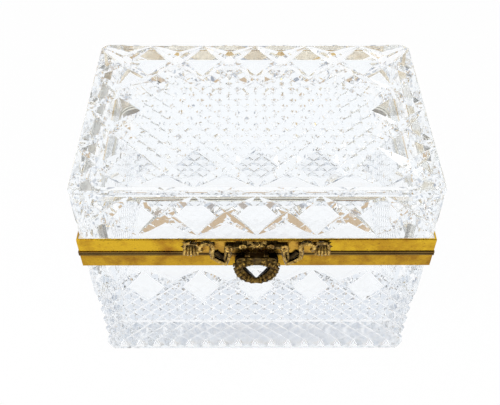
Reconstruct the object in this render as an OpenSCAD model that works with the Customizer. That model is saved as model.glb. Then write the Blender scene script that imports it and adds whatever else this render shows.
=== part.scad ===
/* [Glass] */
// Width of the glass
glass_w = 162; // [130:1:200]
// Depth of the glass, front to back
glass_d = 108; // [90:1:130]
// Height of the base's glass below its brass band
base_glass_h = 75.4; // [62:0.2:90]
// Height of the lid's glass above its brass band
lid_glass_h = 30.6; // [29.6:0.2:40]
// Thickness of the side walls
wall = 7; // [6.5:0.25:11]
// Thickness of the base's floor
floor_t = 15; // [8:0.5:18]
// Thickness of the lid's top
roof_t = 7.5; // [6.5:0.5:11]
// Width of the flat ground on each upright corner
corner_cut = 3; // [2:0.25:4.5]
// Bevel along the lid's top edge and under the base
edge_bevel = 2; // [1:0.25:3]
// Radius of the hollow's upright corners
hollow_r = 8; // [4:0.5:12]
// Radius between the hollow's walls and its floor or roof
hollow_fillet = 5; // [2:0.5:8]

/* [Cut pattern] */
// Large diamonds along the front
units_x = 6; // [5:1:8]
// Large diamonds along each end
units_y = 4; // [3:1:6]
// Depth of a large wheel cut at its middle
cut_depth = 2.8; // [1.6:0.1:3.4]
// Opening angle of the cutting wheel's edge
cut_angle = 96; // [84:1:110]
// Height of the row of large diamonds on the base
base_row_h = 27; // [22:0.5:30]
// Height of the row of large diamonds on the lid's sides
lid_row_h = 26; // [20:0.5:27]
// Width of the border of large diamonds round the lid's top
top_row_h = 26; // [22:0.5:28]
// Plain strip between a row of large diamonds and the lid's edges
row_margin = 2.2; // [1.6:0.1:4]
// Plain strip between the base's row of large diamonds and its band
base_margin = 4.1; // [2:0.1:6]
// Fine diamonds in one large one
fine_per_unit = 3; // [2:1:4]
// Plain foot under the base's fine diamonds
foot_h = 3; // [2.4:0.1:4.4]
// How far the points of the fine diamonds lie under the uncut surface
fine_sink = 0.12; // [0.05:0.01:0.4]
// Height of the large diamonds' lower tips above the nearest row of fine crossings
fine_shift = 3.3; // [1:0.1:4]

/* [Brass bands] */
// Height of each band strip
strip_h = 8.2; // [6:0.2:12]
// Thickness of the band strip
strip_t = 0.8; // [0.6:0.1:1.4]
// Small bevel along the band strip's edges
strip_bevel = 0.25; // [0.1:0.05:0.3]
// Thickness of the rim plates
plate_t = 1.0; // [0.8:0.1:1.6]
// How far a rim plate's lip stands proud of the band
lip = 0.4; // [0.3:0.1:0.9]
// Gap between the closed rim plates
seam = 0.5; // [0.3:0.05:0.6]
// Thickness of the plaster bedding between glass and brass
bed_t = 0.6; // [0.4:0.1:1]
// Hair gap between the bedding and the glass
bed_gap = 0.05; // [0.03:0.01:0.1]
// How far a rim plate reaches past the wall into the hollow
plate_inset = 0.3; // [0.1:0.1:1]

/* [Hinge] */
// Number of knuckles
knuckles = 5; // [3:2:9]
// Length of one knuckle with its end gap
knuckle_l = 15; // [10:0.5:18]
// Outer radius of the knuckles
knuckle_r = 2.2; // [2:0.1:2.8]
// Radius of the hinge pin
pin_r = 1.0; // [0.7:0.05:1.2]
// Radial running clearance of the pins
pin_fit = 0.05; // [0.02:0.01:0.08]
// Gap between neighbouring knuckles and behind the leaves
hinge_gap = 0.3; // [0.25:0.05:0.5]
// Angle at which the two leaves meet and stop the lid
stop_angle = 100; // [90:1:110]
// Length of the leaves' sloping stop faces
stop_l = 4.4; // [3.6:0.1:5]
// Height of a leaf on its band
leaf_h = 7.4; // [6:0.2:7.8]

/* [Clasp] */
// Half length of the bow ornament
bow_half = 34; // [32:0.2:38]
// Half length of the plate behind the bow
plate_half = 30; // [26:0.2:34]
// Height of the bow's middle line above the seam
bow_rise = 6.6; // [5.6:0.2:7.4]
// Thickness of the clasp plate behind the bow
clasp_t = 0.8; // [0.6:0.1:1.2]
// Depth of the bow's relief in front of its plate
relief = 3.2; // [2.4:0.2:4]
// Height of the pull's pivot above the seam
pivot_rise = 1.0; // [0.6:0.1:1.4]
// Distance of the pull's pivot in front of the band
pivot_out = 3.1; // [2.9:0.1:3.6]
// Radius of the pull's pin
pull_pin_r = 0.8; // [0.6:0.05:0.9]
// Length of the eye block on the wreath
eye_l = 6.6; // [5:0.2:8]
// Thickness of each staple ear
ear_t = 1.5; // [1:0.1:2]

/* [Wreath] */
// Outer radius of the wreath's ring
wreath_r = 10; // [9:0.2:12]
// Distance from the pivot down to the wreath's centre
wreath_drop = 8.3; // [7.6:0.1:10.6]
// Thickness of the wreath without its leaves
wreath_t = 2.4; // [2:0.1:3.2]
// Pairs of leaf rows down each branch
leaf_rows = 10; // [6:1:11]
// Length of one laurel leaf
leaf_l = 4.2; // [3:0.2:5.5]

/* [Catch] */
// Width of the catch tongue
tongue_w = 12; // [8:0.5:16]
// Thickness of the catch tongue
tongue_t = 0.7; // [0.5:0.05:1]
// Reach of the catch tongue below the seam
tongue_drop = 5; // [3:0.25:7]

/* [Hidden] */

// The glass, seen from above
unit_x = glass_w / units_x;
unit_y = glass_d / units_y;
hollow_w = glass_w - 2 * wall;
hollow_d = glass_d - 2 * wall;

// Levels, from the table up
lower_strip_z = base_glass_h;
lower_plate_z = lower_strip_z + strip_h;
seam_low = lower_plate_z + plate_t;
seam_high = seam_low + seam;
seam_mid = seam_low + seam / 2;
upper_strip_z = seam_high + plate_t;
lid_glass_z = upper_strip_z + strip_h;
top_z = lid_glass_z + lid_glass_h;

// Outer faces of the brass
band_w = glass_w + 2 * strip_t;
band_d = glass_d + 2 * strip_t;
front_y = -band_d / 2;
back_y = band_d / 2;

// Wheel cuts
cut_flare = tan(cut_angle / 2);
cut_steps = 5;
cut_lift = 1;
cut_over = 1.12;
fine_depth = unit_x / fine_per_unit / sqrt(8) / cut_flare + fine_sink;
second_pass = 0.06;
side_shift = 0.4;
field_spill = 1.4;

// Hinge
hinge_y = back_y + lip + hinge_gap + knuckle_r;
hinge_l = knuckles * knuckle_l;
knuckle_gap_r = knuckle_r + hinge_gap / 2;
stop_gap = 0.16;

// Clasp
pivot_y = front_y - pivot_out;
pivot_z = seam_high + pivot_rise;
bow_z = seam_high + bow_rise;
plate_front = front_y - clasp_t;
clasp_low = upper_strip_z + 0.1;
clasp_high = lid_glass_z - 0.4;
ear_reach = 1.1;
ear_x = eye_l / 2 + 0.3;
eye_half = 1.15;
eye_up = 1.2;
eye_down = 1.8;
wreath_z = pivot_z - wreath_drop;
wreath_y = pivot_y - 0.55;
eye_gap = 0.3;
bed_recess = 0.3;
chasing = 0.05;
tongue_gap = 0.5;

// ---------- general shapes ----------

// Faces of a solid lofted through rings of n points
function loft_faces(rings, n) = concat(
    [[for (j = [0:n - 1]) j]],
    [for (i = [0:rings - 2]) for (j = [0:n - 1]) [i * n + j, (i + 1) * n + j, (i + 1) * n + (j + 1) % n]],
    [for (i = [0:rings - 2]) for (j = [0:n - 1]) [i * n + j, (i + 1) * n + (j + 1) % n, i * n + (j + 1) % n]],
    [[for (j = [n - 1:-1:0]) (rings - 1) * n + j]]);

// Points of an arc in a plane, as [across, up]
function arc_points(centre, r, from, to, steps) =
    [for (i = [0:steps]) let(a = from + (to - from) * i / steps) centre + r * [cos(a), sin(a)]];

// A rectangle with its corners cut at 45 degrees
module cut_rectangle(w, d, c) {
    polygon([[-w / 2 + c, -d / 2], [w / 2 - c, -d / 2], [w / 2, -d / 2 + c], [w / 2, d / 2 - c],
             [w / 2 - c, d / 2], [-w / 2 + c, d / 2], [-w / 2, d / 2 - c], [-w / 2, -d / 2 + c]]);
}

module round_rectangle(w, d, r) {
    square([w - 2 * r, d], center = true);
    square([w, d - 2 * r], center = true);
    for (x = [-1, 1])
        for (y = [-1, 1])
            translate([x * (w / 2 - r), y * (d / 2 - r)])
                circle(r, $fn = 32);
}

// Stands a plan drawing on one side of the box: across, up, out
module on_side(turn, distance) {
    rotate([0, 0, turn])
        translate([0, -distance, 0])
            rotate([90, 0, 0])
                children();
}

// ---------- glass ----------

// What a large wheel leaves: a long V that runs out at both ends
module wheel_cut(run, depth) {
    rows = [for (i = [0:cut_steps]) let(t = cut_over * (2 * i / cut_steps - 1))
            [t * run / 2, depth * (1 - t * t)]];
    points = [for (row = rows) each [[row[0], 0, -row[1]],
              [row[0], (row[1] + cut_lift) * cut_flare, cut_lift],
              [row[0], -(row[1] + cut_lift) * cut_flare, cut_lift]]];
    hull()
        polyhedron(points, loft_faces(len(rows), 3));
}

// A row of crossed wheel cuts that leaves large diamonds between them
module crossed_cuts(count, unit, low, row_h) {
    for (i = [0:count - 1])
        for (s = [-1, 1])
            translate([(i + 0.5 - count / 2) * unit, low + row_h / 2, 0])
                rotate([0, 0, s * atan2(row_h, unit)])
                    wheel_cut(norm([unit, row_h]), cut_depth + (s > 0 ? second_pass : 0));
}

// Fine V cuts both ways: everything above a field of small pyramids, in half steps of their pitches.
// Below the given edge the cuts run out of the surface.
module fine_cuts(w, h, pitch, edge = -1000) {
    half = pitch / 2;
    cols = ceil(w / pitch[0]);
    rows = ceil(h / pitch[1]);
    row_len = 2 * cols + 1;
    count = row_len * (2 * rows + 1);
    function at(i, j) = (j + rows) * row_len + i + cols;
    field = [for (j = [-rows:rows]) for (i = [-cols:cols])
             [i * half[0], j * half[1], j * half[1] < edge ? fine_depth : (i + j) % 2 == 0 ? -fine_depth : -fine_sink]];
    top = [for (c = [[-1, -1], [1, -1], [1, 1], [-1, 1]]) [c[0] * cols * half[0], c[1] * rows * half[1], fine_depth + cut_lift]];
    faces = [for (j = [-rows:rows - 1]) for (i = [-cols:cols - 1]) for (upper = [0, 1])
             let(a = at(i, j), b = at(i + 1, j), c = at(i + 1, j + 1), d = at(i, j + 1))
             (i + j) % 2 == 0 ? (upper == 0 ? [a, b, c] : [a, c, d]) : (upper == 0 ? [a, b, d] : [b, c, d])];
    walls = [[for (t = [0, 3, 2, 1]) count + t],
             concat([count, count + 1], [for (i = [cols:-1:-cols]) at(i, -rows)]),
             concat([count + 2, count + 3], [for (i = [-cols:cols]) at(i, rows)]),
             concat([count + 1, count + 2], [for (j = [rows:-1:-rows]) at(cols, j)]),
             concat([count + 3, count], [for (j = [-rows:rows]) at(-cols, j)])];
    polyhedron(concat(field, top), concat(faces, walls));
}

// The fine field of one side of the base: it climbs between the large diamonds
module side_field(count, unit, shift) {
    tip = base_glass_h - base_margin - base_row_h + field_spill;
    cross = tip + base_row_h / 2;
    pitch = [unit, base_row_h] / fine_per_unit;
    w = count * unit;
    centre = tip - field_spill - fine_shift - pitch[1] + shift;
    intersection() {
        translate([0, centre, 0])
            fine_cuts(w + pitch[0], cross + pitch[1], pitch, foot_h - centre);
        translate([0, 0, -2 * fine_depth])
            linear_extrude(4 * fine_depth)
                polygon(concat([[w / 2 + 1, -1], [w / 2 + 1, tip]],
                               [for (i = [0:2 * count]) [w / 2 - i * unit / 2, i % 2 == 0 ? tip : cross]],
                               [[-w / 2 - 1, tip], [-w / 2 - 1, -1]]));
    }
}

// Triangles that the border of large diamonds takes out of one long or short edge of the field
module border_bites(count, unit, edge) {
    for (i = [1:count - 1])
        translate([(i - count / 2) * unit, -edge])
            polygon([[-unit / 2, -1], [unit / 2, -1], [0, top_row_h / 2]]);
}

// The fine field in the middle of the lid's top, inside the border of large diamonds
module top_field() {
    cross = row_margin + top_row_h / 2 - field_spill;
    w = glass_w - 2 * cross;
    d = glass_d - 2 * cross;
    pitch = [unit_x, unit_y] / fine_per_unit;
    intersection() {
        fine_cuts(w + pitch[0], d + pitch[1], pitch);
        translate([0, 0, -2 * fine_depth])
            linear_extrude(4 * fine_depth)
                difference() {
                    square([w, d], center = true);
                    for (turn = [0, 180]) {
                        rotate(turn)
                            border_bites(units_x, unit_x, d / 2);
                        rotate(turn + 90)
                            border_bites(units_y, unit_y, w / 2);
                    }
                }
    }
}

// The hollow in base or lid: rounded upright corners and a fillet at its closed end
module hollow(depth) {
    x = hollow_w / 2 - hollow_r;
    y = hollow_d / 2 - hollow_r;
    hull()
        for (sx = [-1, 1])
            for (sy = [-1, 1])
                translate([sx * x, sy * y, 0]) {
                    translate([0, 0, hollow_fillet])
                        cylinder(depth, r = hollow_r, $fn = 24);
                    for (i = [0:2])
                        let(a = i * 30)
                            translate([0, 0, hollow_fillet * (1 - cos(a))])
                                cylinder(0.01, r = hollow_r - hollow_fillet * (1 - sin(a)), $fn = 24);
                }
}

// Glass body between z = 0 and its rim, bevelled round its closed face, ground back for the brass above side_h
module glass_block(side_h, rim_h) {
    hull() {
        linear_extrude(0.01)
            cut_rectangle(glass_w - 2 * edge_bevel, glass_d - 2 * edge_bevel, corner_cut);
        translate([0, 0, edge_bevel])
            linear_extrude(side_h - edge_bevel)
                cut_rectangle(glass_w, glass_d, corner_cut);
    }
    linear_extrude(rim_h)
        cut_rectangle(glass_w - 2 * bed_t, glass_d - 2 * bed_t, corner_cut);
}

module base_glass() {
    rim_h = lower_plate_z - bed_t;
    color("lightcyan", 0.6)
        difference() {
            glass_block(base_glass_h, rim_h);
            translate([0, 0, floor_t])
                hollow(rim_h);
            for (turn = [0, 180]) {
                on_side(turn, glass_d / 2) {
                    crossed_cuts(units_x, unit_x, base_glass_h - base_margin - base_row_h, base_row_h);
                    side_field(units_x, unit_x, 0);
                }
                on_side(turn + 90, glass_w / 2) {
                    crossed_cuts(units_y, unit_y, base_glass_h - base_margin - base_row_h, base_row_h);
                    side_field(units_y, unit_y, side_shift);
                }
            }
        }
}

module lid_glass() {
    rim_z = upper_strip_z + bed_t;
    color("azure", 0.6)
        difference() {
            translate([0, 0, top_z])
                mirror([0, 0, 1])
                    glass_block(lid_glass_h, top_z - rim_z);
            translate([0, 0, top_z - roof_t])
                mirror([0, 0, 1])
                    hollow(top_z);
            for (turn = [0, 180]) {
                translate([0, 0, lid_glass_z]) {
                    on_side(turn, glass_d / 2)
                        crossed_cuts(units_x, unit_x, row_margin, lid_row_h);
                    on_side(turn + 90, glass_w / 2)
                        crossed_cuts(units_y, unit_y, row_margin, lid_row_h);
                }
                translate([0, 0, top_z]) {
                    rotate(turn)
                        crossed_cuts(units_x, unit_x, row_margin - glass_d / 2, top_row_h);
                    rotate(turn + 90)
                        crossed_cuts(units_y - 2, unit_y, row_margin - glass_w / 2, top_row_h);
                }
            }
            translate([0, 0, top_z])
                top_field();
        }
}

// ---------- brass round the rims ----------

// Section across two facing strips, with a small bevel along each outer edge
function strip_section(reach) =
    let (b = strip_bevel, h = strip_h)
    [[reach - b, 0], [reach, b], [reach, h - b], [reach - b, h],
     [b - reach, h], [-reach, h - b], [-reach, b], [b - reach, 0]];

// One band: a closed frame of strip with mitred corners
module band(z) {
    translate([0, 0, z])
        difference() {
            intersection() {
                rotate([90, 0, 90])
                    linear_extrude(band_w + 2 * strip_t, center = true)
                        polygon(strip_section(band_d / 2));
                rotate([90, 0, 0])
                    linear_extrude(band_d + 2 * strip_t, center = true)
                        polygon(strip_section(band_w / 2));
            }
            translate([0, 0, -strip_h])
                linear_extrude(3 * strip_h)
                    square([glass_w, glass_d], center = true);
        }
}

module lower_band() {
    color("goldenrod")
        band(lower_strip_z);
}

module upper_band() {
    color("goldenrod")
        band(upper_strip_z);
}

// A flat frame over the glass wall, proud of the band by its lip
module rim_plate(z) {
    translate([0, 0, z])
        linear_extrude(plate_t)
            difference() {
                square([band_w + 2 * lip, band_d + 2 * lip], center = true);
                round_rectangle(hollow_w - 2 * plate_inset, hollow_d - 2 * plate_inset, hollow_r);
            }
}

module lower_rim_plate() {
    color("gold")
        rim_plate(lower_plate_z);
}

module upper_rim_plate() {
    color("gold")
        rim_plate(seam_high);
}

// Plaster: a thin coat round the ground rim and a layer between rim and plate, a hair clear of the glass
module bedding() {
    inner_w = glass_w - 2 * bed_t + 2 * bed_gap;
    inner_d = glass_d - 2 * bed_t + 2 * bed_gap;
    difference() {
        translate([0, 0, bed_t + bed_recess - strip_h])
            linear_extrude(strip_h - bed_recess)
                square([glass_w, glass_d], center = true);
        translate([0, 0, -strip_h])
            linear_extrude(strip_h + bed_gap)
                cut_rectangle(inner_w, inner_d, corner_cut);
        linear_extrude(2 * bed_t)
            round_rectangle(hollow_w, hollow_d, hollow_r);
    }
}

module lower_bedding() {
    color("ivory")
        translate([0, 0, lower_plate_z - bed_t])
            bedding();
}

module upper_bedding() {
    color("ivory")
        translate([0, 0, upper_strip_z + bed_t])
            mirror([0, 0, 1])
                bedding();
}

// ---------- hinge ----------

module along_hinge(from, to, r) {
    translate([from, hinge_y, seam_mid])
        rotate([0, 90, 0])
            cylinder(to - from, r = r, $fn = 48);
}

// Where knuckle i begins and ends
function knuckle_from(i) = -hinge_l / 2 + i * knuckle_l;

// One leaf, seen as the lower one: a wedge bar on the band whose sloping top face is the stop
module leaf(first) {
    a = stop_angle / 2;
    inward = -(stop_gap / 2) * [sin(a), cos(a)];
    to_band = back_y - hinge_y;
    to_lip = to_band + lip + hinge_gap / 2;
    plate_low = -seam / 2 - plate_t - hinge_gap / 2;
    difference() {
        union() {
            translate([0, hinge_y, seam_mid])
                rotate([90, 0, 90])
                    linear_extrude(hinge_l, center = true)
                        polygon([[to_band, -leaf_h], stop_l * [cos(a), -sin(a)] + inward,
                                 0.4 * [cos(a), -sin(a)] + inward, [to_lip, -seam / 2],
                                 [to_lip, plate_low], [to_band, plate_low]]);
            for (i = [first:2:knuckles - 1])
                along_hinge(knuckle_from(i), knuckle_from(i) + knuckle_l, knuckle_r);
        }
        along_hinge(-hinge_l / 2 - 1, hinge_l / 2 + 1, pin_r + pin_fit);
        for (i = [1 - first:2:knuckles - 1])
            along_hinge(knuckle_from(i) - hinge_gap / 2, knuckle_from(i) + knuckle_l + hinge_gap / 2,
                        knuckle_gap_r);
    }
}

module hinge_leaf_lower() {
    color("darkgoldenrod")
        leaf(0);
}

module hinge_leaf_upper() {
    color("darkgoldenrod")
        translate([0, 0, 2 * seam_mid])
            mirror([0, 0, 1])
                leaf(1);
}

module hinge_pin() {
    color("gold")
        along_hinge(-hinge_l / 2, hinge_l / 2, pin_r);
}

// ---------- clasp ----------

module clasp_plate() {
    w = 2 * plate_half;
    h = clasp_high - clasp_low;
    color("goldenrod")
        translate([0, front_y, clasp_low + h / 2])
            rotate([90, 0, 0])
                linear_extrude(clasp_t)
                    cut_rectangle(w, h, 2);
}

// A swept ribbon: path of [across, up, out, half width], its section flattened by the given share
module ribbon(path, flat) {
    n = 5;
    last = len(path) - 1;
    points = [for (i = [0:last])
        let(a = path[max(i - 1, 0)], b = path[min(i + 1, last)], d = [b[0] - a[0], b[1] - a[1]],
            side = [-d[1], d[0]] / norm(d), p = path[i])
        for (j = [0:n - 1])
            let(r = p[3] * (1 + chasing * sin(97 * i + 61 * j + 7 * p[0])), u = r * cos(j * 360 / n),
                v = r * flat * sin(j * 360 / n))
                [p[0] + side[0] * u, p[1] + side[1] * u, p[2] + v]];
    polyhedron(points, loft_faces(last + 1, n));
}

// A pointed leaf along +X with a ridge down its middle
module pointed_leaf(l, w, t) {
    hull()
        polyhedron([[0, 0, 0], [l * 0.4, w / 2, 0], [l, 0, 0], [l * 0.4, -w / 2, 0], [l * 0.35, 0, t],
                    [l * 0.35, 0, -t * 0.6]],
                   [[0, 1, 4], [1, 2, 4], [2, 3, 4], [3, 0, 4], [1, 0, 5], [2, 1, 5], [3, 2, 5], [0, 3, 5]]);
}

// Path of a ribbon over plan points, from one half width to another
function ribbon_path(plan, out, from, to) =
    [for (i = [0:len(plan) - 1])
        [plan[i][0], plan[i][1], out, from + (to - from) * i / (len(plan) - 1)]];

// One arm of the bow in its own plane and in steps of 1/34 of its length: across, up, out
module bow_arm() {
    out = 1.5;
    bud = [12.7, -0.3];
    // stem from the knot to the bud, and the rolled bud itself
    ribbon(ribbon_path([[-0.8, 0.4], [4, 0.9], [8, 0.6], [bud[0], 0]], out - 0.6, 1.5, 1.7), 0.7);
    ribbon(ribbon_path(arc_points(bud, 1.6, 230, -110, 7), out + 0.6, 0.85, 0.65), 1);
    translate([bud[0], bud[1], out * 0.6])
        scale([1, 1, 0.8])
            sphere(2.1, $fn = 8);
    translate([bud[0] - 0.2, bud[1] + 0.3, out + 0.8])
        sphere(0.9, $fn = 6);
    // the loop, open below, that runs on into the hanging fold
    ribbon(ribbon_path(arc_points([22.8, 0], 3, -40, 215, 8), out, 1.15, 1.25), 1.15);
    ribbon(ribbon_path([[20.2, -1.4], [20.6, -4.6], [20.2, -7.6], [17.8, -9.9], [14.4, -12.1]], out - 0.2, 1.3, 1.25),
           0.8);
    ribbon(ribbon_path([[19, -4.6], [17, -7.4], [14.4, -10]], out - 1.1, 1.9, 1.7), 0.35);
    // the fold's other side, in two flutes that climb to the bud
    ribbon(ribbon_path([[14.3, -12.6], [13.3, -9.2], [12.4, -6], [12.2, -2.2]], out, 0.75, 1), 0.9);
    ribbon(ribbon_path([[14.4, -11.4], [14.6, -8.4], [14.2, -5.6], [13.6, -2.2]], out - 0.5, 0.7, 0.9), 0.9);
    // the gathered end: a hollow hood with a fringe of claws below it
    ribbon(ribbon_path([[26.2, 0.4], [27.2, 2.6], [30, 3.1], [32.4, 2.2], [33, -0.4]], out, 0.8, 0.8), 1);
    translate([29.8, 0, 0])
        scale([1.2, 1, 0.5])
            sphere(2.6, $fn = 8);
    for (i = [0:4])
        let(x = 27.2 + i * 1.42, lean = (i - 2) * 0.22)
            ribbon([[x - lean, 0.6, 0.9, 0.5], [x, -1.8, out + 0.4, 0.74], [x + lean * 0.6, -4.2, out + 0.5, 0.7],
                    [x + lean * 0.2, -6.2 + 0.25 * abs(i - 2), out - 0.2, 0.45]], 1);
    for (leaf = [[31.2, 2.4, 20], [31.8, 0.8, -12], [31.6, -0.8, -44]])
        translate([leaf[0], leaf[1], out * 0.8])
            rotate([0, 0, leaf[2]])
                pointed_leaf(2.9, 1.9, 1);
}

module on_clasp() {
    translate([0, plate_front, bow_z])
        rotate([90, 0, 0])
            children();
}

// Leaves, scrolls and knot over the middle of the bow
module bow_knot() {
    out = 1.6;
    for (i = [-2:2])
        translate([0, 3.2, out + 0.35 - 0.15 * abs(i)])
            rotate([0, 0, i * 27 - 90])
                pointed_leaf(5.1, 2.1, 1.3);
    for (s = [0, 1])
        mirror([s, 0, 0]) {
            for (leaf = [[1.2, 2.6, 8, 8.6], [3, 0.6, -16, 6.4], [7, 2.6, 30, 3.2], [7.6, 0.6, -8, 4]])
                translate([leaf[0], leaf[1], out - 0.5])
                    rotate([0, 0, leaf[2]])
                        pointed_leaf(leaf[3], 2.3, 1.2);
            ribbon(ribbon_path(arc_points([6.3, 1.1], 1.3, -60, 240, 6), out + 0.3, 0.7, 0.6), 1);
            translate([6.3, 1.1, out])
                sphere(0.8, $fn = 6);
        }
    translate([0, 2.4, out + 0.3])
        scale([1.2, 1, 0.8])
            sphere(1.5, $fn = 8);
}

module bow() {
    color("darkgoldenrod")
        on_clasp()
            difference() {
                scale([bow_half / 34, bow_half / 34, relief / 3.2]) {
                    for (s = [0, 1])
                        mirror([s, 0, 0])
                            bow_arm();
                    bow_knot();
                }
                translate([0, 0, -bow_half])
                    cube([2 * bow_half + 4, 2 * bow_half + 4, 2 * bow_half], center = true);
            }
}

// Two ears on the clasp plate that carry the pull's pin
module staple() {
    color("peru")
        difference() {
            for (s = [-1, 1])
                translate([s * (ear_x + ear_t / 2), 0, 0])
                    rotate([90, 0, 90])
                        linear_extrude(ear_t, center = true) {
                            translate([pivot_y, pivot_z])
                                circle(ear_reach, $fn = 32);
                            translate([pivot_y, pivot_z - ear_reach * 0.3])
                                square([min(front_y - lip - hinge_gap, plate_front) - pivot_y, ear_reach * 1.3]);
                            translate([pivot_y + 1.2, clasp_low])
                                square([plate_front - pivot_y - 1.2, 2.4]);
                        }
            translate([-ear_x - 2 * ear_t, pivot_y, pivot_z])
                rotate([0, 90, 0])
                    cylinder(2 * ear_x + 4 * ear_t, r = pull_pin_r, $fn = 32);
        }
}

module pull_pin() {
    l = 2 * (ear_x + ear_t);
    color("gold")
        translate([-l / 2, pivot_y, pivot_z])
            rotate([0, 90, 0])
                cylinder(l, r = pull_pin_r, $fn = 32);
}

// ---------- wreath ----------

// The ring in steps of a tenth of its half width: broad shoulders above, round below, and a
// heart-shaped hole that comes to a point
module wreath_outline(inset) {
    difference() {
        hull() {
            circle(10.2 - inset, $fn = 36);
            for (s = [-1, 1])
                translate([s * 7, 7])
                    circle(3 - inset, $fn = 16);
        }
        hull() {
            for (s = [-1, 1])
                translate([s * 4.2, 2])
                    circle(1.6 + inset, $fn = 16);
            translate([0, -7.3])
                circle(0.4 + inset, $fn = 8);
        }
    }
}

// Distance of the ring's two edges from its centre, by the angle from the top
function hole_edge(a) = min(a < 90 ? 6.4 : 7.9, a < 62 ? 3.6 / cos(a) : 4.12 / cos(a - 120));
function ring_edge(a) = min(11.8, a < 90 ? 10.2 / max(sin(a), cos(a)) : 10.2);

// Laurel leaves in three rows down one branch
module laurel() {
    for (i = [0:leaf_rows - 1])
        let(a = 6 + i * 166 / leaf_rows, inner = hole_edge(a) + 0.5, width = ring_edge(a) - inner)
            for (row = [0:2])
                let(r = inner + width * (row + 0.5) / 3, turn = a + (row == 1 ? 9 : 0))
                    rotate([0, 0, 90 - turn])
                        translate([r, 0, wreath_t * 0.42 + (row == 1 ? 0.25 : 0)])
                            rotate([0, 0, -92 - 3 * row])
                                pointed_leaf(leaf_l, 0.4 + width * 0.4, row == 1 ? 1.15 : 0.95);
}

module wreath() {
    color("olive")
        difference() {
            translate([0, wreath_y, wreath_z])
                rotate([90, 0, 0])
                    scale([wreath_r / 10, wreath_r / 10, 1]) {
                        linear_extrude(wreath_t * 0.6, center = true)
                            wreath_outline(0);
                        linear_extrude(wreath_t, center = true)
                            wreath_outline(0.7);
                        for (s = [0, 1])
                            mirror([s, 0, 0])
                                laurel();
                    }
            // room for the ears and the eye block behind the top leaves
            translate([-ear_x - ear_t - eye_gap, pivot_y - ear_reach - eye_gap, pivot_z - eye_down])
                cube([2 * (ear_x + ear_t + eye_gap), wreath_t * 3, 2 * eye_down + 4]);
            // the ring's top is cut flat under the bow
            translate([-wreath_r, pivot_y - wreath_r, pivot_z + eye_up])
                cube(2 * wreath_r);
        }
}

// Block brazed into the wreath's top, bored for the pull's pin
module wreath_eye() {
    color("peru")
        difference() {
            translate([-eye_l / 2, pivot_y - ear_reach - eye_gap, pivot_z - eye_down])
                cube([eye_l, ear_reach + eye_gap + eye_half, eye_down + eye_up]);
            translate([-eye_l, pivot_y, pivot_z])
                rotate([0, 90, 0])
                    cylinder(2 * eye_l, r = pull_pin_r + pin_fit, $fn = 32);
        }
}

// ---------- catch ----------

// Tongue soldered to the upper rim plate's inner edge, hanging just inside the base's hollow
module catch_tongue() {
    edge = plate_inset - hollow_d / 2;
    inner = edge + tongue_gap + tongue_t;
    color("gold")
        rotate([90, 0, 90])
            linear_extrude(tongue_w, center = true)
                polygon([[edge, seam_high], [edge, seam_high + plate_t], [inner, seam_high + plate_t],
                         [inner, seam_low - tongue_drop], [edge + tongue_gap, seam_low - tongue_drop],
                         [edge + tongue_gap, seam_high]]);
}

base_glass();
lid_glass();
lower_band();
upper_band();
lower_rim_plate();
upper_rim_plate();
lower_bedding();
upper_bedding();
hinge_leaf_lower();
hinge_leaf_upper();
hinge_pin();
clasp_plate();
bow();
staple();
pull_pin();
wreath();
wreath_eye();
catch_tongue();
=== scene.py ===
import math
import bpy
from mathutils import Matrix, Vector

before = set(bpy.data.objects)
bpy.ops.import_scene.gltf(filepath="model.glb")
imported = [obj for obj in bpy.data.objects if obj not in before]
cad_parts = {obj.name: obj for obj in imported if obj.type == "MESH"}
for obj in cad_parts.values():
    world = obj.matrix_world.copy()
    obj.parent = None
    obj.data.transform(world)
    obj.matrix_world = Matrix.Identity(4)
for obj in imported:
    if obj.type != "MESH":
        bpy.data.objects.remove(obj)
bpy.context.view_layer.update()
scene = bpy.context.scene
scene.cycles.max_bounces = 128
scene.cycles.transmission_bounces = 128
scene.cycles.glossy_bounces = 48
scene.cycles.transparent_max_bounces = 64
scene.cycles.caustics_refractive = True
scene.cycles.caustics_reflective = False
scene.cycles.sample_clamp_indirect = 6.0
scene.view_settings.view_transform = "Standard"

# Sizes of the box that the materials and the camera follow, in metres
HALF_WIDTH, HALF_DEPTH, TOP = 0.081, 0.054, 0.1248
LARGE, FINE_PITCH = 0.027, 0.009  # one large diamond, and the fine cuts' pitch
GROOVE_HALF, GROOVE_DEPTH = 0.00038, 0.00036
LATTICE_MIDDLE, LATTICE_SHIFT = 0.032, 0.0004  # height of the fine cuts' middle, and how much more on the ends
ZIGZAG_TOP = 0.0586  # the fine cuts' highest tips, between the large diamonds
FOOT_TOP = 0.0035
CUT_SKIN = -0.0045  # the cuts reach this far in from the glass's outline
GROUND_FACE = 0.0002  # the ground underside lies below this height
LIP_WIDTH, LIP_DEPTH = 0.0815, 0.0545  # where the rim plates' proud lip starts
RIM_INNER = -0.0072  # the rim plates' inner edge, from the lip's start
BACK_START, BACK_END = 0.045, 0.049  # the bedding turns from clean to stained here


# ---------- node helpers ----------

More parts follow.
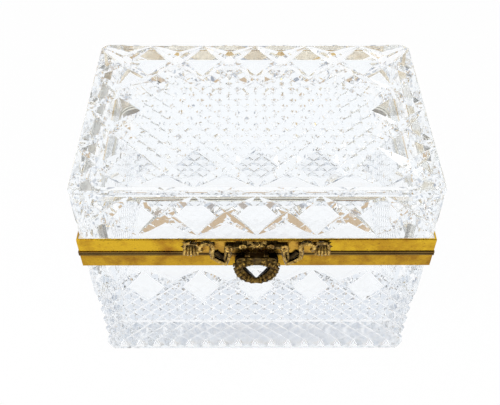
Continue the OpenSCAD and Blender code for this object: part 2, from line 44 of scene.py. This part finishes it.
class Maker:
    """Adds nodes to a tree and links them by name."""

    def __init__(self, tree):
        self.tree = tree

    def feed(self, socket, value):
        """Links a node's output to the socket, or sets a plain value or colour on it."""
        if hasattr(value, "is_output"):
            self.tree.links.new(value, socket)
        elif socket.type == "RGBA":
            socket.default_value = (*value, 1.0)
        else:
            socket.default_value = value

    def add(self, kind, inputs=None, **props):
        node = self.tree.nodes.new(kind)
        for key, value in props.items():
            setattr(node, key, value)
        for key, value in (inputs or {}).items():
            self.feed(node.inputs[key], value)
        return node

    def math(self, operation, a, b=0.0, clamp=False):
        return self.add("ShaderNodeMath", {0: a, 1: b}, operation=operation, use_clamp=clamp).outputs[0]

    def mix(self, factor, a, b):
        """Colour a where the factor is 0, and colour b where it is 1."""
        return self.add("ShaderNodeMix", {0: factor, 6: a, 7: b}, data_type="RGBA").outputs[2]

    def ramp(self, factor, stops):
        node = self.add("ShaderNodeValToRGB", {"Fac": factor})
        while len(node.color_ramp.elements) < len(stops):
            node.color_ramp.elements.new(0.5)
        for element, (place, level) in zip(node.color_ramp.elements, stops):
            element.position = place
            element.color = (level, level, level, 1.0)
        return node.outputs[0]

    def span(self, value, start, end):
        """0 at the start, 1 at the end."""
        return self.add("ShaderNodeMapRange", {"Value": value, "From Min": start, "From Max": end}).outputs[0]

    def noise(self, **inputs):
        return self.add("ShaderNodeTexNoise", inputs).outputs["Fac"]

    def coordinate(self, kind="Object"):
        return self.add("ShaderNodeTexCoord").outputs[kind]

    def split(self, vector):
        return self.add("ShaderNodeSeparateXYZ", {0: vector}).outputs

    def beyond(self, half_width, half_depth):
        """The place's parts, and how far it lies past the two half sizes."""
        place = self.split(self.coordinate())
        over_x = self.math("SUBTRACT", self.math("ABSOLUTE", place["X"]), half_width)
        over_y = self.math("SUBTRACT", self.math("ABSOLUTE", place["Y"]), half_depth)
        return place, over_x, over_y

    def group(self, tree, inputs):
        return self.add("ShaderNodeGroup", inputs, node_tree=tree).outputs


def new_material(name):
    material = bpy.data.materials.new(name)
    material.use_nodes = True
    material.node_tree.nodes.clear()
    return material, Maker(material.node_tree)


def new_group(name, inputs, outputs):
    """A node group of plain values: its tree, its maker and what comes in."""
    tree = bpy.data.node_groups.new(name, "ShaderNodeTree")
    for way, sockets in (("INPUT", inputs), ("OUTPUT", outputs)):
        for socket in sockets:
            tree.interface.new_socket(socket, in_out=way, socket_type="NodeSocketFloat")
    m = Maker(tree)
    return tree, m, m.add("NodeGroupInput").outputs


def assign(material, *names):
    for name in names:
        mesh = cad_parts[name].data
        mesh.materials.clear()
        mesh.materials.append(material)


# ---------- shared effects ----------

def patina_group():
    """Slow stains, fine streaks along the rolling direction and small pits, as three masks."""
    tree, m, inputs = new_group("Patina", ("Stain Size", "Streak Size"), ("Stain", "Streak", "Pits", "Height"))
    place = m.coordinate()
    stretched = m.add("ShaderNodeMapping", {"Vector": place, "Scale": (0.12, 0.12, 1.0)}).outputs[0]
    stain = m.noise(Vector=place, Scale=inputs["Stain Size"], Detail=5.0, Roughness=0.62)
    streak = m.noise(Vector=stretched, Scale=inputs["Streak Size"], Detail=4.0, Roughness=0.7)
    pits = m.noise(Vector=place, Scale=900.0, Detail=2.0)
    stain_mask = m.ramp(stain, [(0.44, 0.0), (0.66, 1.0)])
    streak_mask = m.ramp(streak, [(0.42, 0.0), (0.62, 1.0)])
    pit_mask = m.ramp(pits, [(0.62, 0.0), (0.75, 1.0)])
    height = m.math("SUBTRACT", m.math("MULTIPLY", streak_mask, 0.4), pit_mask)
    m.add("NodeGroupOutput", {"Stain": stain_mask, "Streak": streak_mask, "Pits": pit_mask, "Height": height})
    return tree


def chasing_group():
    """Small chased lines of cast ornament, as the mask for painted shade: 1 on a line."""
    tree, m, inputs = new_group("Chasing", ("Size",), ("Line",))
    cells = m.add("ShaderNodeTexVoronoi", {"Vector": m.coordinate(), "Scale": inputs["Size"]},
                  feature="DISTANCE_TO_EDGE")
    m.add("NodeGroupOutput", {"Line": m.ramp(cells.outputs["Distance"], [(0.04, 1.0), (0.16, 0.0)])})
    return tree


def relief_group():
    """How far a place stands out to the front, from 0 at the Deep level to 1 at the High one."""
    tree, m, levels = new_group("Relief", ("Deep", "High"), ("Raised",))
    m.add("NodeGroupOutput", {"Raised": m.span(m.split(m.coordinate())["Y"], levels["Deep"], levels["High"])})
    return tree


def groove_group():
    """Round bottoms of the crossed fine cuts: 1 on a groove's line, 0 beside it."""
    tree, m, inputs = new_group("Grooves", ("Across", "Up", "Half Width"), ("Fill",))
    distances = []
    for way in ("ADD", "SUBTRACT"):
        turns = m.math("DIVIDE", m.math(way, inputs["Across"], inputs["Up"]), FINE_PITCH)
        off = m.math("ABSOLUTE", m.math("SUBTRACT", m.math("FRACT", m.math("ADD", turns, 0.5)), 0.5))
        distances.append(m.math("MULTIPLY", off, FINE_PITCH / math.sqrt(2)))
    nearest = m.math("MINIMUM", *distances)
    fill = m.math("SUBTRACT", 1.0, m.math("DIVIDE", nearest, inputs["Half Width"]), clamp=True)
    m.add("NodeGroupOutput", {"Fill": fill})
    return tree


PATINA = patina_group()
GROOVES = groove_group()
RELIEF = relief_group()
CHASING = chasing_group()


# ---------- materials ----------

STREAK_SIZE = 900.0
# The near-black tone of the painted shade on the bow and the wreath.
PAINTED_SHADE_TONE = (0.012, 0.007, 0.003)
CLEAR = (0.975, 0.988, 1.0)


def brass(name, bright, dull, roughness, stain_size=60.0, shade=None):
    """Brass with stains; shade gets the maker and the stained tone, and gives back the final tone."""
    material, m = new_material(name)
    masks = m.group(PATINA, {"Stain Size": stain_size, "Streak Size": STREAK_SIZE})
    tone = m.mix(masks["Stain"], bright, dull)
    tone = m.mix(m.math("MULTIPLY", masks["Pits"], 0.5), tone, tuple(part * 0.5 for part in dull))
    if shade:
        tone = shade(m, tone)
    rough = m.math("ADD", m.math("MULTIPLY", masks["Streak"], 0.12), roughness)
    bump = m.add("ShaderNodeBump", {"Strength": 0.15, "Distance": 0.0002, "Height": masks["Height"]})
    shader = m.add("ShaderNodeBsdfPrincipled", {
        "Base Color": tone, "Metallic": 1.0, "Roughness": rough, "Normal": bump.outputs[0]})
    m.add("ShaderNodeOutputMaterial", {0: shader.outputs[0]})
    return material


def paint_ornament_shade(deep, high, size, lines):
    """Painted shade on cast ornament: painted recess shade towards the deeper of two depths, painted shade in its
    chased lines, and a painted dark reflection on its upward-facing ledges.
    """
    def shade(m, tone):
        # Painted recess shade: dark at the deep level, the metal's own tone at the high one; upward ledges get a
        # painted dark reflection.
        raised = m.group(RELIEF, {"Deep": deep, "High": high})["Raised"]
        chased = m.group(CHASING, {"Size": size})["Line"]
        ledge = m.span(m.split(m.coordinate("Normal"))["Z"], 0.35, 0.8)
        tone = m.mix(m.math("MULTIPLY", chased, lines), tone, PAINTED_SHADE_TONE)
        tone = m.mix(m.math("MULTIPLY", ledge, 0.75), tone, PAINTED_SHADE_TONE)
        return m.mix(raised, PAINTED_SHADE_TONE, tone)
    return shade


def paint_seam_shade_and_edge_reflection(m, tone):
    """Painted shade on the narrow lip that stands proud of the bands, so the seam between them reads dark, and a
    painted pale reflection of the hollow along the inner edge.
    """
    _, over_x, over_y = m.beyond(LIP_WIDTH, LIP_DEPTH)
    outer = m.math("MAXIMUM", over_x, over_y)
    # Painted pale reflection of the hollow along the rim plates' inner edge.
    tone = m.mix(m.math("LESS_THAN", outer, RIM_INNER), tone, (0.90, 0.86, 0.74))
    # Painted shade on the proud lip beside the seam.
    seam_shade = m.math("MULTIPLY", m.math("GREATER_THAN", outer, 0.0), 0.85)
    return m.mix(seam_shade, tone, (0.05, 0.02, 0.005))


def side_grooves(m):
    """Fine cuts on the base's four sides, up to the zigzag of the large diamonds."""
    place, over_x, over_y = m.beyond(HALF_WIDTH, HALF_DEPTH)
    end = m.math("GREATER_THAN", over_x, over_y)
    across = m.math("ADD", m.math("MULTIPLY", place["Y"], end),
                    m.math("MULTIPLY", place["X"], m.math("SUBTRACT", 1.0, end)))
    middle = m.math("ADD", m.math("MULTIPLY", end, LATTICE_SHIFT), LATTICE_MIDDLE)
    above = m.math("SUBTRACT", place["Z"], middle)
    fill = m.group(GROOVES, {"Across": across, "Up": above, "Half Width": GROOVE_HALF})["Fill"]
    sweep = m.math("MULTIPLY", m.math("FRACT", m.math("DIVIDE", across, LARGE)), 2.0)
    wave = m.math("ABSOLUTE", m.math("SUBTRACT", sweep, 1.0))
    zigzag = m.math("SUBTRACT", ZIGZAG_TOP, m.math("MULTIPLY", wave, LARGE / 2))
    mask = m.math("MULTIPLY", m.math("LESS_THAN", place["Z"], zigzag), m.math("GREATER_THAN", place["Z"], FOOT_TOP))
    skin = m.math("GREATER_THAN", m.math("MAXIMUM", over_x, over_y), CUT_SKIN)
    field = m.math("MULTIPLY", mask, skin)
    return m.math("MULTIPLY", fill, field), field


def cut_glass(name, grooves=None):
    """Clear lead glass; where grooves are given, painted shade tints the glass between the groove lines and the
    lines stay white as painted highlights. Shadow rays pass, so that light reaches the hollow.
    """
    material, m = new_material(name)
    place = m.coordinate()
    wear = m.ramp(m.noise(Vector=place, Scale=220.0, Detail=3.0), [(0.55, 0.0), (0.8, 1.0)])
    ground = m.math("LESS_THAN", m.split(place)["Z"], GROUND_FACE)
    rough = m.math("ADD", m.math("MULTIPLY", wear, 0.03), m.math("MULTIPLY", ground, 0.05))
    glass = m.add("ShaderNodeBsdfPrincipled", {
        "Base Color": CLEAR, "Roughness": rough, "IOR": 1.54, "Transmission Weight": 1.0})
    if grooves:
        fill, field = grooves(m)
        bump = m.add("ShaderNodeBump", {"Strength": 1.0, "Distance": GROOVE_DEPTH, "Height": fill})
        m.feed(glass.inputs["Normal"], bump.outputs[0])
        # Painted shade: grey-blue between the groove lines inside the cut field, with the lines left white as
        # painted highlights.
        painted_cell_shade = m.mix(m.ramp(fill, [(0.0, 0.0), (0.35, 1.0)]), (0.88, 0.905, 0.935), (1.0, 1.0, 1.0))
        m.feed(glass.inputs["Base Color"], m.mix(field, CLEAR, painted_cell_shade))
    clear = m.add("ShaderNodeBsdfTransparent", {"Color": (0.90, 0.92, 0.94)})
    shadow = m.add("ShaderNodeLightPath").outputs["Is Shadow Ray"]
    both = m.add("ShaderNodeMixShader", {0: shadow, 1: glass.outputs[0], 2: clear.outputs[0]})
    m.add("ShaderNodeOutputMaterial", {0: both.outputs[0]})
    return material


def plaster(name):
    """Bedding plaster: clean in front and on the ends, stained at the back."""
    material, m = new_material(name)
    place = m.coordinate()
    grain = m.noise(Vector=place, Scale=400.0, Detail=4.0)
    blotch = m.noise(Vector=place, Scale=70.0, Detail=3.0, Roughness=0.6)
    back = m.span(m.split(place)["Y"], BACK_START, BACK_END)
    stained = m.mix(m.ramp(blotch, [(0.45, 0.0), (0.7, 1.0)]), (0.80, 0.70, 0.54), (0.54, 0.40, 0.24))
    clean = m.mix(m.ramp(blotch, [(0.5, 0.0), (0.75, 1.0)]), (0.88, 0.86, 0.81), (0.66, 0.50, 0.26))
    tone = m.mix(m.math("MULTIPLY", grain, 0.4), m.mix(back, clean, stained), (0.5, 0.42, 0.3))
    bump = m.add("ShaderNodeBump", {"Strength": 0.3, "Distance": 0.0003, "Height": grain})
    shader = m.add("ShaderNodeBsdfPrincipled", {"Base Color": tone, "Roughness": 0.9, "Normal": bump.outputs[0]})
    m.add("ShaderNodeOutputMaterial", {0: shader.outputs[0]})
    return material


LID_GLASS = cut_glass("lid_lead_glass")
BASE_GLASS = cut_glass("base_lead_glass", side_grooves)
UPPER_BRASS = brass("upper_band_brass", (0.68, 0.42, 0.022), (0.38, 0.17, 0.012), 0.2)
LOWER_BRASS = brass("lower_band_brass", (0.54, 0.31, 0.018), (0.28, 0.12, 0.010), 0.22, stain_size=75.0)
# The rim plates carry painted shade on their lip and a painted pale reflection on their inner edge.
RIM_BRASS = brass("rim_brass", (0.84, 0.58, 0.14), (0.44, 0.23, 0.04), 0.22, shade=paint_seam_shade_and_edge_reflection)
HINGE_BRASS = brass("hinge_brass", (0.74, 0.50, 0.15), (0.38, 0.22, 0.06), 0.26)
CLASP_BRASS = brass("clasp_brass", (0.58, 0.33, 0.045), (0.26, 0.12, 0.018), 0.28, stain_size=300.0)
DARK_BRASS = brass("antique_brass", (0.10, 0.06, 0.02), (0.02, 0.012, 0.006), 0.34, stain_size=420.0)
# The bow and the wreath carry painted shade in their hollows and chased lines, and a painted dark reflection on
# upward ledges.
BOW_BRASS = brass("bow_brass", (0.86, 0.56, 0.15), (0.20, 0.10, 0.028), 0.22, stain_size=420.0,
                  shade=paint_ornament_shade(deep=-0.0564, high=-0.0582, size=620.0, lines=0.55))
WREATH_BRASS = brass("wreath_brass", (0.53, 0.33, 0.075), (0.14, 0.07, 0.018), 0.3, stain_size=420.0,
                     shade=paint_ornament_shade(deep=-0.0594, high=-0.0604, size=800.0, lines=0.6))
PLASTER = plaster("bedding_plaster")
assign(BASE_GLASS, "base_glass")
assign(LID_GLASS, "lid_glass")
assign(UPPER_BRASS, "upper_band")
assign(LOWER_BRASS, "lower_band")
assign(RIM_BRASS, "lower_rim_plate", "upper_rim_plate", "catch_tongue")
assign(HINGE_BRASS, "hinge_leaf_lower", "hinge_leaf_upper", "hinge_pin", "pull_pin")
assign(CLASP_BRASS, "clasp_plate")
assign(DARK_BRASS, "staple", "wreath_eye")
assign(BOW_BRASS, "bow")
assign(WREATH_BRASS, "wreath")
assign(PLASTER, "lower_bedding", "upper_bedding")
for name in ("base_glass", "lid_glass", "bow", "wreath"):
    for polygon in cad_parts[name].data.polygons:
        polygon.use_smooth = False


# ---------- floor, light and camera ----------

FLOOR_SIDE = 3.0
FLOOR_HEIGHT = -0.0001  # a hair of air stays between the foot and the table
FRONT_START = 0.056  # the floor's painted cool shade, seen only through glass, starts just in front of the box


def rays(m):
    """Who looks: the eye, polished metal, or a ray that has passed through glass."""
    path = m.add("ShaderNodeLightPath").outputs
    glass = path["Is Transmission Ray"]
    return path["Is Camera Ray"], m.math("SUBTRACT", path["Is Glossy Ray"], glass, clamp=True), glass


def seen_by(m, *levels):
    """One value for each of those who look."""
    eye, metal, glass = [m.math("MULTIPLY", ray, level) for ray, level in zip(rays(m), levels)]
    return m.math("MAXIMUM", eye, m.math("MAXIMUM", metal, glass))


floor_mesh = bpy.data.meshes.new("floor")
corners = [(x * FLOOR_SIDE, y * FLOOR_SIDE, FLOOR_HEIGHT) for x, y in ((-1, -1), (1, -1), (1, 1), (-1, 1))]
floor_mesh.from_pydata(corners, [], [(0, 1, 2, 3)])
floor = bpy.data.objects.new("floor", floor_mesh)
scene.collection.objects.link(floor)
floor_paint, m = new_material("floor_paint")
soft = m.add("ShaderNodeBsdfDiffuse", {"Color": (0.94, 0.94, 0.94)})
# Painted shade: a cool grey-blue stretch of floor in front of the box, seen only by rays through glass, that
# darkens the glass base.
along = m.split(m.coordinate())["Y"]
forward = m.math("MULTIPLY", m.math("ADD", along, FRONT_START), -10.0)
stretch = m.ramp(forward, [(0.0, 0.0), (0.04, 1.0), (0.3, 1.0), (0.36, 0.0)])
painted_shade_tint = m.mix(m.math("MULTIPLY", stretch, rays(m)[2]), (1.0, 1.0, 1.0), (0.86, 0.89, 0.93))
white = m.add("ShaderNodeEmission", {"Color": painted_shade_tint, "Strength": 1.0})
paint = m.add("ShaderNodeMixShader", {0: seen_by(m, 0.95, 0.5, 1.0), 1: soft.outputs[0], 2: white.outputs[0]})
m.add("ShaderNodeOutputMaterial", {0: paint.outputs[0]})
floor_mesh.materials.append(floor_paint)

# The eye sees plain white. Glass and metal see a room that is darker on the camera's side.
world = bpy.data.worlds.new("studio")
world.use_nodes = True
scene.world = world
world.node_tree.nodes.clear()
m = Maker(world.node_tree)
toward = m.split(m.coordinate("Generated"))
front = m.ramp(m.math("SUBTRACT", 0.0, toward["Y"]), [(0.05, 0.0), (0.45, 1.0)])
high = m.ramp(toward["Z"], [(0.45, 0.0), (0.65, 1.0)])
overhead = m.ramp(toward["Z"], [(0.9, 0.0), (0.97, 1.0)])
steep = m.ramp(toward["Z"], [(0.74, 0.0), (0.79, 1.0)])
raised = m.ramp(toward["Z"], [(0.15, 0.0), (0.4, 1.0)])
camera_side = m.mix(high, (0.36, 0.39, 0.45), (0.62, 0.47, 0.31))
ceiling = m.mix(steep, (0.96, 0.98, 1.0), (0.60, 0.64, 0.70))
through_glass = m.mix(front, ceiling, camera_side)
dark = m.mix(raised, (0.62, 0.60, 0.57), (0.05, 0.045, 0.04))
off_metal = m.mix(m.math("MULTIPLY", front, m.math("SUBTRACT", 1.0, overhead)), (1.0, 1.0, 1.0), dark)
room = m.mix(rays(m)[1], through_glass, off_metal)
fill = m.add("ShaderNodeBackground", {"Color": (1.0, 1.0, 1.0), "Strength": 0.55})
white = m.add("ShaderNodeBackground", {"Color": (1.0, 1.0, 1.0), "Strength": 1.0})
walls = m.add("ShaderNodeBackground", {"Color": room, "Strength": 1.0})
lenses = m.add("ShaderNodeMixShader", {0: seen_by(m, 0.0, 1.0, 1.0), 1: fill.outputs[0], 2: walls.outputs[0]})
both = m.add("ShaderNodeMixShader", {0: seen_by(m, 1.0, 0.0, 0.0), 1: lenses.outputs[0], 2: white.outputs[0]})
m.add("ShaderNodeOutputWorld", {0: both.outputs[0]})


def softbox(name, place, size, power):
    light = bpy.data.lights.new(name, "AREA")
    light.shape = "RECTANGLE"
    light.size = light.size_y = size
    light.energy = power
    lamp = bpy.data.objects.new(name, light)
    scene.collection.objects.link(lamp)
    lamp.location = place
    lamp.visible_transmission = False
    lamp.rotation_euler = (Vector((0, 0, 0.06)) - Vector(place)).to_track_quat("-Z", "Y").to_euler()


softbox("key_light", (-0.5, -0.45, 0.9), size=0.6, power=6.0)
softbox("fill_light", (0.7, -0.5, 0.6), size=0.5, power=2.5)

# The camera looks at the middle of the lid's top front edge, off it by the two shifts.
FOCAL, FRAME_WIDTH = 697.6, 500.0  # in pixels
PITCH, ROLL, YAW = (math.radians(angle) for angle in (46.85, -0.209, 0.364))
SHIFT_X, SHIFT_V, DISTANCE = 0.00276, 0.00455, 0.2941
right = Vector((math.cos(YAW), -math.sin(YAW), 0))
up = Vector((math.sin(YAW) * math.sin(PITCH), math.cos(YAW) * math.sin(PITCH), math.cos(PITCH)))
ahead = Vector((math.sin(YAW) * math.cos(PITCH), math.cos(YAW) * math.cos(PITCH), -math.sin(PITCH)))
eye = (-SHIFT_X * right - (SHIFT_V + HALF_DEPTH * math.sin(PITCH)) * up
       - (DISTANCE + HALF_DEPTH * math.cos(PITCH)) * ahead + Vector((0, 0, TOP)))
cam_right = right * math.cos(ROLL) - up * math.sin(ROLL)
cam_up = right * math.sin(ROLL) + up * math.cos(ROLL)
lens = bpy.data.cameras.new("camera")
lens.sensor_fit = "HORIZONTAL"
lens.sensor_width = 36.0
lens.lens = FOCAL / FRAME_WIDTH * 36.0
lens.clip_start = 0.01
camera = bpy.data.objects.new("camera", lens)
turn = Matrix((cam_right, cam_up, -ahead)).transposed().to_4x4()
camera.matrix_world = Matrix.Translation(eye) @ turn
scene.collection.objects.link(camera)
scene.camera = camera
